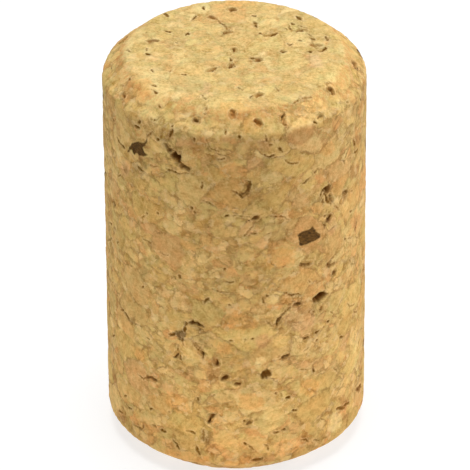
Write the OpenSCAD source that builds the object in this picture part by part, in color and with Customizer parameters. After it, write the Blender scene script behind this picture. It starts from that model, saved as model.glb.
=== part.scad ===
// Agglomerated cork stopper: ground cork granules pressed and bonded into one solid piece.
// Both ends are chamfered with rounded edges, and the skin is open in small voids
// and crevices where the granules don't quite meet.
// Origin at the centre of the lower end, +Z along the axis, -Y to the front. Millimetres.

/* [Body] */
// Diameter of the side, which the bottle neck grips
body_d = 23.5; // [20:0.5:30]
// Length from end to end
body_len = 38; // [30:1:50]

/* [Chamfered ends] */
// How far each chamfer cuts in from the side
chamfer_in = 2.1; // [1.5:0.1:3]
// How far each chamfer runs along the side
chamfer_up = 1.8; // [1.5:0.1:3]
// Radius that rounds the chamfer into the end face
face_round = 1.0; // [0.5:0.1:2.5]
// Radius that rounds the chamfer into the side
side_round = 0.9; // [0.5:0.1:2]

/* [Voids between the granules] */
// Depth of a void as a share of its width
void_depth_share = 0.9; // [0.5:0.1:1.2]
// Width of a void's floor as a share of its mouth
void_floor_share = 0.5; // [0.3:0.1:0.8]
// How far a void's outline strays from a smooth lens
void_wobble = 0.32; // [0:0.02:0.36]
// Side area that holds one scattered void, in square millimetres
side_area_per_void = 30; // [20:5:80]
// End area that holds one scattered void, in square millimetres
end_area_per_void = 22; // [20:2:60]
// Arc of an end's chamfer that holds one scattered void
rim_arc_per_void = 9; // [6:1:20]
// Longest scattered void
scatter_long = 2.0; // [1.2:0.1:3]
// Widest scattered void
scatter_wide = 0.8; // [0.5:0.1:1]

/* [Hidden] */

body_r = body_d / 2;
face_r = body_r - chamfer_in;              // where the chamfer would meet the end face
chamfer_run = norm([chamfer_in, chamfer_up]);
side_turn = atan2(chamfer_in, chamfer_up); // how far the outline turns from side to chamfer
face_turn = 90 - side_turn;                // and from chamfer to end face
side_tangent = side_round * tan(side_turn / 2);
face_tangent = face_round * tan(face_turn / 2);
round_steps = 8;                           // straight steps in each rounded edge
body_fn = 120;

void_sides = 10;
void_lift = 0.3;                           // how far a cutter stands clear of the skin
lens_power = 0.7;                          // under 1 the ends of a void are blunter, over 1 sharper
golden_angle = 137.508;
cork = [0.80, 0.64, 0.40];

// The charts below place the voids on the front and the top. They are drawn on a stopper
// of this length and end radius, and stretch with the real one.
chart_len = 38;
chart_end_r = 9.65;
chart_half_angle = 76;                     // the side chart reaches this far round from the front

// Side: angle from the front towards +X, height, length, width, turn from level, bow
side_chart = [
    [-26, 33.5, 1.1, 0.9, -30, 0],
    [-30, 34.3, 1.4, 0.3, -45, 0],
    [-21.5, 32.7, 1.4, 0.4, -15, 0.1],
    [4.5, 30.9, 2.0, 0.3, 62, -0.2],
    [44, 28.9, 1.0, 0.6, 75, 0],
    [46, 27.8, 1.5, 0.3, -62, -0.1],
    [45, 25.8, 0.9, 0.4, 55, 0],
    [56, 27.4, 1.2, 0.3, -25, 0],
    [8.5, 28.0, 0.7, 0.4, 15, 0],
    [-67, 25.2, 0.8, 0.7, 0, 0],
    [32, 22.1, 1.9, 0.3, -14, -0.1],
    [46.5, 20.9, 1.3, 0.4, -22, -0.2],
    [48.5, 19.8, 0.7, 0.4, 75, 0],
    [40, 18.0, 1.9, 0.9, 4, 0],
    [28, 18.1, 1.1, 0.4, -4, 0.1],
    [20, 17.1, 1.6, 0.3, 52, 0.2],
    [40.5, 16.7, 0.9, 0.3, 40, 0],
    [-17.5, 16.6, 1.7, 0.3, -5, 0.2],
    [-15, 13.7, 0.8, 0.3, -40, 0],
    [-26.5, 13.0, 1.0, 0.3, 60, 0],
    [-8.5, 12.8, 0.9, 0.3, -80, 0],
    [32, 14.3, 0.7, 0.3, 20, 0],
    [22, 12.9, 1.0, 0.3, 22, 0.1],
    [13, 11.4, 1.2, 0.8, 42, 0],
    [-5, 11.2, 0.8, 0.5, 20, 0],
    [0.5, 10.7, 0.9, 0.4, 10, -0.2],
    [-41, 9.3, 1.7, 0.3, 8, 0.2],
    [-11.5, 6.8, 1.2, 0.4, 60, 0.1],
    [5, 6.4, 0.9, 0.3, 35, 0],
    [73, 4.6, 1.5, 0.6, -12, 0],
];

// Top end: across, back, length, width, turn, bow
end_chart = [
    [2.2, -7.4, 0.8, 0.5, 60, 0],
    [2.1, -1.2, 0.9, 0.6, -50, 0],
    [-0.2, -2.1, 0.9, 0.4, 60, 0],
    [0, 0.5, 0.7, 0.3, 90, 0],
    [-2.1, -3.0, 1.2, 0.3, 40, 0],
    [-0.6, 3.7, 1.1, 0.5, 25, 0],
    [-1.9, 6.4, 1.0, 0.5, -40, 0],
    [-0.2, 7.8, 1.0, 0.5, 0, 0],
    [-7.3, 2.3, 1.1, 0.4, 0, 0],
    [3.1, 3.2, 1.7, 0.3, 0, -0.3],
    [6.0, 4.0, 1.2, 0.4, 8, 0],
    [7.3, 1.4, 1.5, 0.3, -14, -0.1],
    [7.8, 0.4, 0.9, 0.3, 50, -0.2],
];

// Top chamfer: angle from the front, place across it from -1 at the side to 1 at the end face,
// length, width, turn, bow
rim_chart = [
    [55, 0.4, 1.0, 0.6, -70, 0.1],
    [11, -0.1, 0.9, 0.5, -60, 0.1],
    [-1, 0.6, 0.9, 0.4, 85, 0],
    [23, -0.1, 1.2, 0.3, 78, 0.2],
    [41, -0.7, 0.8, 0.3, 15, 0],
    [-18, 0, 0.6, 0.4, 20, 0],
    [-62, -0.4, 0.9, 0.3, 10, 0.1],
    [87, 0, 1.1, 0.6, 10, 0],
    [-139, 0, 1.2, 0.7, 30, 0],
];

// The points of an arc that rounds a corner of the outline, which turns left as it goes
function corner_arc(centre, r, from, turn) =
    [for (i = [0:round_steps])
        let (a = from + turn * i / round_steps)
        centre + r * [cos(a), sin(a)]];

// The upper right quarter of the outline, from the side up and in to the end face
function upper_edge(z) = concat(
    corner_arc([body_r - side_round, z - chamfer_up - side_tangent], side_round, 0, side_turn),
    corner_arc([face_r - face_tangent, z - face_round], face_round, side_turn, face_turn)
);

// A void's outline: a lens of the given length and width, bent like a bow, and uneven
function void_outline(long, wide, bow, seed) =
    let (stray = rands(1 - void_wobble, 1 + void_wobble, void_sides, seed))
    [for (i = [0:void_sides - 1])
        let (
            a = 360 * i / void_sides,
            along = cos(a),
            across = sign(sin(a)) * pow(abs(sin(a)), lens_power)
        )
        [
            along * long / 2,
            across * stray[i] * wide / 2 + bow * long * (0.5 - along * along)
        ]];

// Cuts one void down from the skin, which lies at z = 0, narrowing to a flat floor
module void_cut(long, wide, bow, seed) {
    outline = void_outline(long, wide, bow, seed);
    last = void_sides - 1;
    depth = void_depth_share * wide;
    clear_scale = 1 + (1 - void_floor_share) * void_lift / depth;
    polyhedron(
        points = concat(
            [for (p = outline) [p.x * clear_scale, p.y * clear_scale, void_lift]],
            [for (p = outline) [p.x * void_floor_share, p.y * void_floor_share, -depth]]
        ),
        faces = concat(
            [[for (i = [last:-1:0]) i]],
            [[for (i = [0:last]) void_sides + i]],
            [for (i = [0:last])
                let (next = (i + 1) % void_sides)
                [i, next, void_sides + next, void_sides + i]]
        )
    );
}

// Puts what is drawn on the XY plane on the side, with its X level and its Y up
module on_side(angle, height)
    rotate([0, 0, angle]) translate([0, -body_r, height]) rotate([90, 0, 0]) children();

// Puts it on the upper chamfer, with its Y up the slope
module on_rim(angle, across = 0)
    rotate([0, 0, angle])
        translate([0, -(body_r + face_r) / 2, body_len - chamfer_up / 2])
            rotate([90 - side_turn, 0, 0]) translate([0, across * chamfer_run / 2, 0]) children();

// Puts it on the upper end face
module on_end(across, back) translate([across, back, body_len]) children();

// Turns what is drawn at the upper end down to the lower end
module at_lower_end() translate([0, 0, body_len]) rotate([180, 0, 0]) children();

// One scattered void, with a size and a turn of its own
module scattered_void(seed) {
    pick = rands(0, 1, 4, seed);
    long = scatter_long * (0.4 + 0.6 * pick[0]);
    wide = min(scatter_wide * (0.4 + 0.6 * pick[1] * pick[1]), long);
    turn = 180 * pick[2];
    bow = 0.4 * (pick[3] - 0.5);
    rotate([0, 0, turn]) void_cut(long, wide, bow, seed);
}

module charted_voids() {
    up = body_len / chart_len;
    out = face_r / chart_end_r;
    for (i = [0:len(side_chart) - 1]) {
        v = side_chart[i];
        on_side(v[0], v[1] * up) rotate([0, 0, v[4]]) void_cut(v[2], v[3], v[5], i);
    }
    for (i = [0:len(end_chart) - 1]) {
        v = end_chart[i];
        on_end(v[0] * out, v[1] * out) rotate([0, 0, v[4]]) void_cut(v[2], v[3], v[5], i);
    }
    for (i = [0:len(rim_chart) - 1]) {
        v = rim_chart[i];
        on_rim(v[0], v[1]) rotate([0, 0, v[4]]) void_cut(v[2], v[3], v[5], i);
    }
}

// How far round from the front an angle lies, from 0 to 180
function from_front(angle) = let (a = angle % 360) min(a, 360 - a);

module scattered_side_voids() {
    low = chamfer_up + side_tangent + scatter_long / 2;
    span = body_len - 2 * low;
    count = floor(PI * body_d * span / side_area_per_void);
    for (i = [0:count - 1]) {
        angle = i * golden_angle;
        if (from_front(angle) > chart_half_angle)
            on_side(angle, low + span * (i + 0.5) / count) scattered_void(i);
    }
}

module scattered_rim_voids(from) {
    count = floor(2 * PI * body_r / rim_arc_per_void);
    for (i = [0:count - 1]) {
        angle = (i + 0.5) * 360 / count;
        if (from_front(angle) > from) on_rim(angle) scattered_void(count + i);
    }
}

module scattered_end_voids() {
    reach = face_r - scatter_long / 2;
    count = floor(PI * face_r * face_r / end_area_per_void);
    for (i = [0:count - 1]) {
        out = reach * sqrt((i + 0.5) / count);
        angle = i * golden_angle;
        on_end(out * cos(angle), out * sin(angle)) scattered_void(i);
    }
}

// The turned body: a revolved outline with a chamfer and two rounded edges at each end
module turned_body() {
    upper = upper_edge(body_len);
    lower = [for (i = [len(upper) - 1:-1:0]) [upper[i].x, body_len - upper[i].y]];
    rotate_extrude($fn = body_fn) polygon(concat([[0, 0]], lower, upper, [[0, body_len]]));
}

module stopper() {
    color(cork)
        difference() {
            turned_body();
            charted_voids();
            scattered_side_voids();
            scattered_rim_voids(chart_half_angle);
            at_lower_end() {
                scattered_end_voids();
                scattered_rim_voids(0);
            }
        }
}

stopper();
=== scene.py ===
"""A cork stopper of pressed and bonded granules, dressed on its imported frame. The frame and the scene
are in metres; the charts of marks, the granules and the materials are worked out in millimetres."""

import math

import bmesh
import bpy
import numpy as np
from mathutils import Matrix, Vector, noise
from mathutils.bvhtree import BVHTree
from mathutils.kdtree import KDTree


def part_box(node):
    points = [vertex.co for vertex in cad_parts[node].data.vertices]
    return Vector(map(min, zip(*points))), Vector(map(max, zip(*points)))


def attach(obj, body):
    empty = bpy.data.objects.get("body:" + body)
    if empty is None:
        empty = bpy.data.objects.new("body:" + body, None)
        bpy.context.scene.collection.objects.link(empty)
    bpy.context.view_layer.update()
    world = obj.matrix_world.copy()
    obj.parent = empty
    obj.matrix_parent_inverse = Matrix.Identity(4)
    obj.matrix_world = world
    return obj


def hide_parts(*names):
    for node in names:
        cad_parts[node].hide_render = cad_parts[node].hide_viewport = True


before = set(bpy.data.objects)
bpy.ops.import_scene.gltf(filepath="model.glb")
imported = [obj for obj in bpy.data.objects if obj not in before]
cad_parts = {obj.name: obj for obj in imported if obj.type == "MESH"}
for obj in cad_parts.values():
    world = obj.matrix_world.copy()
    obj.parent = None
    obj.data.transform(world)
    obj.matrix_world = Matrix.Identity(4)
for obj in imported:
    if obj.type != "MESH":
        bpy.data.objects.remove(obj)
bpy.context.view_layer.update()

MM = 0.001
noise.seed_set(5)

# ---------------------------------------------------------------- sizes

low_corner, high_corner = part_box("stopper")
RADIUS = (high_corner.x - low_corner.x) / 2 / MM
LENGTH = high_corner.z / MM
CHAMFER_IN, CHAMFER_UP = 2.1, 1.8
FACE_ROUND, SIDE_ROUND = 1.0, 0.9
ARC_POINTS = 24                       # along each rounded edge

CAP_COLUMNS = 60                      # faces across the flat of an end
SIDE_ROWS = 130                       # and from end to end
NEAR_MARK, BY_MARK = 0.24, 0.12       # faces this near a mark are cut finer once, and twice
FLOOR_REACH = 0.2                     # from a void's floor to where its mark begins

LARGE_GRANULE, LARGE_BLUR = 3.0, 0.16
SMALL_GRANULE, SMALL_BLUR = 1.25, 0.3
CRUMB, CRUMB_BLUR = 0.5, 0.5
FLECK, FLECK_BLUR = 0.28, 0.3
GRANULE_SQUASH = (1.0, 1.0, 1.25)     # granules lie a little flat
GRANULE_BEND, GRANULE_FRAY = 2.4, 1.1  # how far their edges are bent and roughened
SMALL_PICK = (0.4, 0.46)              # the lottery numbers from which a large granule is small ones
GRAIN_SHIFT = (17.3, 41.9, 8.6)       # which part of the endless cork the stopper is cut from
DOME_WIDTH, DOME_LEVEL, DOME_SPREAD = 0.5, 0.6, 0.8  # how granules stand up from their seams
SEAM_WIDTH = 0.14                     # half the width of a seam between granules

VOID_START, VOID_LEAST = 0.4, 0.04    # how far above the skin a void is sounded, and its least depth
VOID_NEAR = 0.9                       # how near a void's floor its depth is sounded
VOID_STRAYS = ((1.3, 0.12), (3.6, 0.14))  # how its rim strays: scale of the noise, and how far
DENT = 0.06                           # a corner of the body this far down is a void's floor
SIDE_SPREAD, TOP_SPREAD = 0.36, 0.42  # from a crevice's charted width to its half width
BEAD_GAP, BEADS_NEAR = 0.04, 8        # between a crevice's beads, and how many a place is measured to
BEAD_STRAYS = ((1.9, 0.1), (6.0, 0.07))  # how its line strays, in the same way
SWELL_SCALE, SWELL = 3.7, 0.9         # and how its width does
TIP_WIDTH = 0.25                      # the share of its width that its tips have
GROOVE_EDGE = (-0.09, 0.04)           # across its edge, from its full depth to none
SIDE_CHART_STOP = 0.3                 # how far below the top the side's patches stop
TOP_CHART_REACH = 2.4                 # and how far below it the top's patches reach
FAR, MARK_REACH = 3.0, 1.0            # distances kept where no patch, and no void or crevice, is near
CHARTED_TURN, CHARTED_FADE = 85, 15   # how far round the chart reaches, and fades, in degrees
CHARTED_TOP = 0.9                     # how far below the top all of it is charted

CAMERA_RISE = math.radians(31.76)
CAMERA_ROLL = math.radians(-0.35)
CAMERA_AWAY = 0.4735
CAMERA_LENS = 400.7
CAMERA_SENSOR = 36
CAMERA_SHIFT = -0.0008
CAMERA_CLIP = 0.01

WHITE, BLACK = (1.0, 1.0, 1.0), (0.0, 0.0, 0.0)
FLOOR_GREY, FLOOR_GLOW = (0.3, 0.3, 0.3), 0.72
BACKDROP_GLOW = 0.81
ROOM_GLOW = 0.2
LAMP_AIM = (0, 0, 0.02)
SOFT_BOXES = (
    # name, place, size, watts, colour
    ("above", (0, 0, 0.9), 0.5, 7.05, WHITE),
    ("left", (-0.33, 0, 0.12), 0.2, 0.24, (0.8, 1.0, 1.1)),
    ("right", (0.33, 0, 0.12), 0.2, 0.6, (0.95, 1.0, 1.1)),
)
TABLE_LAMPS = (
    # name, across, back, watts
    ("left", -0.022, -0.02, 0.0008),
    ("front", 0.0, -0.027, 0.0023),
    ("right", 0.028, -0.012, 0.001),
)
TABLE_LAMP_RISE, TABLE_LAMP_SIZE = 0.0012, 0.026

# ---------------------------------------------------------------- charts of marks
# Side marks are (angle from the front towards +X in degrees, height); top marks are (across, back).

SIDE_CREVICES = [
    # width, places along it
    (0.22, [(55.2, 37.8), (57, 37.92), (59.2, 37.8)]),
    (0.26, [(37, 36.3), (37.9, 36.1)]),
    (0.24, [(58.7, 36.35), (60, 36.3)]),
    (0.16, [(30.5, 37.7), (33, 37.8), (35.5, 37.9)]),
    (0.20, [(-15.2, 37.55), (-14.6, 37.5)]),
    (0.24, [(-40.2, 36.5), (-38.5, 36.4), (-36.8, 36.5)]),
    (0.22, [(-28.7, 36.4), (-28.2, 36.5)]),
    (0.20, [(-67.2, 37.7), (-66.6, 37.6)]),
    (0.20, [(-4.1, 36.7), (-3.9, 36.4)]),
    (0.20, [(-39.6, 37.35), (-38.2, 37.25)]),
    (0.22, [(1.6, 36.25), (2.4, 36.2)]),
    (0.26, [(-45.9, 35.6), (-44.9, 35.9)]),
    (0.30, [(-48.5, 35.15), (-45.5, 35.15)]),
    (0.30, [(-27.7, 36.2), (-28.2, 35.8), (-29, 35.4)]),
    (0.22, [(13.3, 36.25), (13.4, 35.9), (13.7, 35.6)]),
    (0.26, [(14.6, 35.25), (16, 35.2)]),
    (0.16, [(-41, 34.5), (-39.5, 35), (-38.2, 35.4)]),
    (0.30, [(-35.4, 34.8), (-34.6, 34.8)]),
    (0.20, [(-47.5, 31.3), (-46.2, 31), (-43.5, 30.9)]),
    (0.14, [(-39.5, 31.9), (-37, 31.9), (-35.4, 32)]),
    (0.22, [(-31, 32.1), (-27.5, 32), (-24.5, 31.9)]),
    (0.26, [(-35.9, 27.3), (-35.1, 27.2)]),
    (0.24, [(-41.9, 26.8), (-41.1, 26.7)]),
    (0.10, [(-42, 26.5), (-44, 26.2), (-46, 25.9)]),
    (0.22, [(-17.7, 35.9), (-17.4, 35.5)]),
    (0.12, [(-12, 35.9), (-11, 35.2), (-9, 34.9), (-6.5, 34.7)]),
    (0.18, [(-7, 34), (-5.5, 34), (-4.5, 34.1)]),
    (0.24, [(-14, 31.5), (-14.3, 30.9)]),
    (0.26, [(12.6, 34.3), (14.5, 34.1), (17, 34.1)]),
    (0.26, [(18.5, 34.8), (19.6, 34.6), (20.6, 34.3)]),
    (0.18, [(22, 33.5), (23.5, 33), (26, 32.9), (28, 32.8)]),
    (0.18, [(4.5, 31.8), (6.6, 31.7), (6.4, 31.1), (5.2, 30.5), (3, 30.1), (1.8, 30.4), (-0.4, 30.8)]),
    (0.18, [(30.5, 30.5), (33, 30.8), (35, 31)]),
    (0.20, [(36.5, 31.2), (37.2, 31.2)]),
    (0.10, [(-14, 29.6), (-12, 29.5), (-9.5, 29.3)]),
    (0.26, [(-19.3, 28.8), (-18.6, 28.6)]),
    (0.14, [(-18, 28.4), (-17.2, 28.2)]),
    (0.34, [(-4.2, 28.2), (-2.8, 28.3)]),
    (0.08, [(-1.5, 28.2), (3, 28.2), (7, 28.1)]),
    (0.16, [(7.4, 27.1), (5.6, 26.7), (3.6, 26.1)]),
    (0.12, [(5.6, 26.6), (7, 26.3), (9.5, 26.3)]),
    (0.14, [(15, 27.9), (18.5, 27.8), (21.5, 27.6), (24, 27.2)]),
    (0.10, [(47.5, 27.2), (49, 26.7), (52, 26.1)]),
    (0.22, [(41.2, 27.8), (42.2, 27.7)]),
    (0.20, [(42, 26.4), (42.8, 26.2)]),
    (0.22, [(42.2, 25.4), (43, 25.2)]),
    (0.16, [(61, 27.1), (63, 26.8)]),
    (0.22, [(55, 30.8), (55.6, 30.4)]),
    (0.24, [(64, 31.6), (65.4, 31.3)]),
    (0.12, [(70, 35.6), (73, 35.1)]),
    (0.16, [(-44, 23.8), (-42, 23.85), (-39.5, 23.8)]),
    (0.10, [(-34.5, 23.3), (-32.5, 23.1), (-30, 23.3)]),
    (0.26, [(-45.4, 18.6), (-44.4, 18.9)]),
    (0.16, [(-71, 21), (-74, 20.6), (-78, 20)]),
    (0.16, [(-43.2, 13.6), (-41, 13.5)]),
    (0.26, [(-4.9, 22.6), (-4.5, 22.8)]),
    (0.16, [(-4, 21.4), (-2.5, 21.3), (-1, 21.4)]),
    (0.10, [(-10, 20.6), (-7, 20.3), (-3, 20.3)]),
    (0.30, [(-25.2, 21.4), (-24.8, 21.1)]),
    (0.24, [(-13.8, 19), (-12.8, 19.3), (-11.6, 19.6)]),
    (0.20, [(-3.2, 19), (-2.2, 18.9)]),
    (0.16, [(11.5, 19.5), (11.9, 19.1), (12.8, 18.8)]),
    (0.16, [(13.2, 19.8), (14.2, 19.6)]),
    (0.18, [(21.5, 19.7), (25, 19.3), (28.5, 19.2)]),
    (0.14, [(24.5, 18), (22.5, 17.75), (21.2, 17.4)]),
    (0.26, [(21.2, 17.35), (19.5, 17.2), (18.4, 16.9), (18, 16.3)]),
    (0.12, [(13.5, 17), (15.5, 16.5), (18.2, 16.1)]),
    (0.16, [
        (-20.8, 16.45), (-19.8, 16.6), (-17.5, 16.65), (-15.8, 16.5), (-14.5, 16.1), (-13.6, 15.9),
    ]),
    (0.24, [(-30.6, 14.85), (-29, 14.95), (-27.5, 15.15)]),
    (0.24, [(-22.9, 15.6), (-22.4, 16.1), (-22.2, 16.6)]),
    (0.14, [(-24, 14.9), (-23.7, 14.4), (-23.5, 14.1)]),
    (0.12, [(-20.2, 14.8), (-18.7, 14.4), (-17.6, 14.1)]),
    (0.12, [(-26, 14), (-26.3, 13.3)]),
    (0.20, [(-28.2, 12.6), (-27.2, 12.7)]),
    (0.22, [(-25.4, 13.2), (-25.1, 12.7), (-24.5, 12.4)]),
    (0.26, [(-24.6, 33.15), (-23.4, 32.95), (-22.2, 32.75)]),
    (0.16, [(-2.8, 15.2), (-1.2, 15.2)]),
    (0.22, [(3.8, 15.3), (4.4, 15.3)]),
    (0.24, [(6.9, 15.4), (7.4, 15.3)]),
    (0.20, [(-17.2, 14), (-16.4, 13.9)]),
    (0.22, [(-14.9, 13.7), (-14.3, 13.4), (-14.7, 13.1)]),
    (0.30, [(42.4, 28.8), (43, 28.3), (43.4, 27.9), (44.6, 27.5), (46.8, 27.15)]),
    (0.26, [(39.8, 28.5), (40.3, 28.9), (41.8, 29.05), (43.5, 29.1), (45.5, 29)]),
    (0.20, [(41.4, 28.1), (40.8, 27.8)]),
    (0.14, [(33.4, 20.3), (34.2, 20)]),
    (0.18, [(35.8, 16.8), (36.6, 16.7)]),
    (0.14, [(46, 15.9), (48, 15.5), (48.3, 15)]),
    (0.20, [(44, 15), (45.5, 15)]),
    (0.30, [(37.5, 14.4), (39.5, 14.5)]),
    (0.20, [(31.2, 14.2), (33.8, 14.3)]),
    (0.24, [(37.5, 13.6), (38.5, 13.6)]),
    (0.18, [(31, 13), (34, 13.1)]),
    (0.26, [(52.5, 12.5), (55, 12.3)]),
    (0.16, [(-49, 9), (-45, 9), (-43, 9.4), (-41, 9.5)]),
    (0.18, [(-42, 5.9), (-40.5, 6.2)]),
    (0.24, [(-35.8, 4.2), (-34.4, 4.3)]),
    (0.14, [(-41, 4.3), (-39, 4.4)]),
    (0.16, [(-52, 3.1), (-50, 3.2), (-48, 3.2), (-46, 3.7)]),
    (0.20, [(-31.4, 6.5), (-30.8, 6.5)]),
    (0.24, [(-17.3, 8.8), (-16.8, 8.5)]),
    (0.20, [(-10.2, 9.3), (-9.4, 9.3)]),
    (0.28, [(-12.2, 6.3), (-12, 6.5)]),
    (0.20, [(3.2, 6.6), (3.8, 6.6)]),
    (0.22, [(17.2, 9.2), (17.8, 9.2)]),
    (0.20, [(20, 9.1), (20.2, 8.8)]),
    (0.24, [(22, 8.5), (24, 8.5)]),
    (0.20, [(26.2, 6.9), (27.6, 6.9)]),
    (0.20, [(16.4, 5), (18.6, 5)]),
    (0.18, [(20.2, 5.1), (22, 5.2)]),
    (0.24, [(3.2, 4.3), (4.2, 4)]),
    (0.16, [(4.8, 4), (6, 3.8), (7.4, 3.4)]),
    (0.28, [(6.4, 2.2), (8.5, 2.3), (10.8, 2.3)]),
    (0.12, [(-17.8, 3.6), (-17.8, 3), (-16, 2.5)]),
    (0.14, [(47.8, 9.8), (50, 9.2), (52, 8.9)]),
    (0.22, [(36, 10.7), (36.8, 10.3)]),
    (0.10, [(29, 11.1), (32, 10.9), (35, 10.8)]),
    (0.14, [(71, 6.1), (74, 5.8)]),
    (0.50, [(68, 5), (70, 4.85), (73, 4.7), (76.5, 4.4)]),
    (0.30, [(-62, 32.7), (-60.5, 32.4), (-58.5, 32.2), (-56, 32.1)]),
    (0.20, [(-67, 34), (-65, 34)]),
    (0.34, [(-67.8, 25.1), (-66, 25.15)]),
    (0.20, [(-62, 28.6), (-60, 29)]),
    (0.22, [(-75, 22.2), (-72, 22.6), (-69, 22.7)]),
    (0.18, [(-65, 21.3), (-62.5, 21.7)]),
    (0.26, [(-61.5, 14.6), (-59.5, 14.9), (-57, 14.7), (-55.5, 14.4), (-54, 14.3)]),
    (0.24, [(-72, 10.4), (-70.5, 10.8), (-69.5, 11)]),
    (0.28, [(-60, 5.5), (-58, 5.8)]),
    (0.24, [(-58.5, 4.8), (-56.5, 4.6), (-54, 4.7)]),
    (0.20, [(-66, 3.2), (-62, 3.4)]),
    (0.20, [(63, 32), (65, 31.5)]),
    (0.22, [(64.5, 30.6), (68, 30.5)]),
    (0.26, [(60.3, 25), (62, 24.8)]),
    (0.28, [(66.8, 23.3), (66.2, 22.7), (65.5, 22.2)]),
    (0.16, [(56, 22.6), (59, 22.3), (62, 22)]),
    (0.16, [(66.5, 21.6), (69.5, 21.2)]),
    (0.14, [(60.5, 19.9), (62.5, 19.2), (66, 18.8)]),
    (0.14, [(58.5, 15.4), (61, 14.9), (66, 14.5)]),
    (0.20, [(65.5, 13.8), (69, 13.3)]),
    (0.22, [(-49.5, 3.1), (-47.5, 3.5), (-46, 3.8)]),
    (0.20, [(-40.5, 4.4), (-38, 4.25)]),
    (0.22, [(-35.3, 4.1), (-33, 4.2)]),
    (0.22, [(-29.5, 3.6), (-27.5, 3.2), (-26, 2.7)]),
    (0.22, [(-22.5, 5), (-20, 5), (-18.5, 4.95)]),
    (0.32, [(-18.2, 3.7), (-17.6, 3.2), (-16.8, 2.8), (-16, 2.5)]),
    (0.14, [(-15, 4.2), (-14.5, 4.9), (-14.6, 5.5)]),
    (0.30, [(6, 2.2), (8.5, 2.3), (11.5, 2.35)]),
    (0.14, [(12.3, 3.9), (13.6, 3.6), (14.2, 3.1)]),
    (0.14, [(30, 3.5), (32, 3.3), (33.5, 3)]),
    (0.14, [(36, 3), (38, 2.8), (40, 2.5)]),
    (0.36, [(50.5, 5.1), (53, 4.9), (55, 4.6), (57, 4.3)]),
    (0.36, [(56, 4.8), (58.5, 4.6), (61, 4.5)]),
    (0.26, [(25.6, 6.95), (27.8, 6.85)]),
    (0.28, [(16.8, 4.95), (19, 5)]),
    (0.28, [(20.5, 5.15), (22, 5.1)]),
    (0.18, [(24.6, 37.3), (23.2, 37.15), (22.4, 36.9), (22.8, 36.7), (24, 36.55)]),
]

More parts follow.
